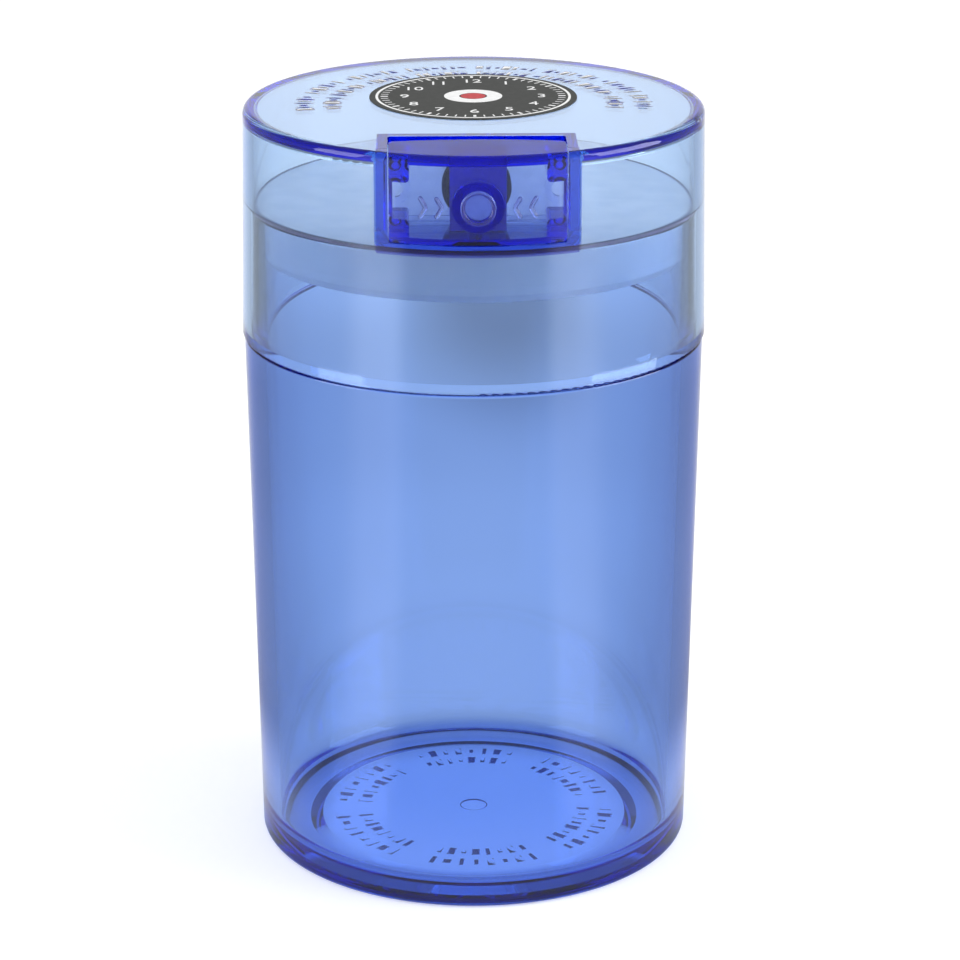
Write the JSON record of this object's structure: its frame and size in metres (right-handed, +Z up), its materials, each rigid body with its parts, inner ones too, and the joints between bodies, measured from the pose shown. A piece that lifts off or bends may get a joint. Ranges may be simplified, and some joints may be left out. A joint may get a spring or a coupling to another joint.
{
  "type": "vacuum seal canister",
  "caption": "Clear blue-tinted cylindrical canister with a drafted push-on cap, a soft plug that seals the mouth, and a flush push button that opens a vent valve.",
  "frame": {"origin": "centre of the foot, on the surface that the canister stands on", "axes": "+Z up along the canister's axis, -Y towards the push button, +X to the right of the button"},
  "size_m": [0.09, 0.09, 0.1492],
  "materials": {
    "tinted_body": "clear blue-tinted styrene copolymer, polished mould",
    "tinted_cap": "clear pale blue-tinted styrene copolymer, polished mould",
    "milky_polyethylene": "milky natural polyethylene",
    "deep_blue_button": "clear deep blue styrene copolymer, polished mould",
    "white_acetal": "natural white acetal, moulded",
    "black_rubber": "matt black silicone rubber",
    "label_film": "charcoal printed sticker film with white and red marks"
  },
  "bodies": {
    "canister": {"canister_body": "tinted_body"},
    "cap": {"cap_shell": "tinted_cap", "seal_cup": "milky_polyethylene", "top_label": "label_film", "return_bellows": "black_rubber"},
    "button": {"push_button": "deep_blue_button", "button_back": "deep_blue_button", "valve_pin": "white_acetal", "valve_stopper": "black_rubber"}
  },
  "joints": [
    {"name": "cap_lift", "type": "slide", "parent": "canister", "child": "cap", "axis": [0, 0, 1], "range_m": [0, 0.06]},
    {"name": "button_press", "type": "slide", "parent": "cap", "child": "button", "axis": [0, 1, 0], "range_m": [0, 0.0025], "stiffness_N_per_m": 600, "springref_m": -0.002, "deforming": ["return_bellows"]}
  ]
}
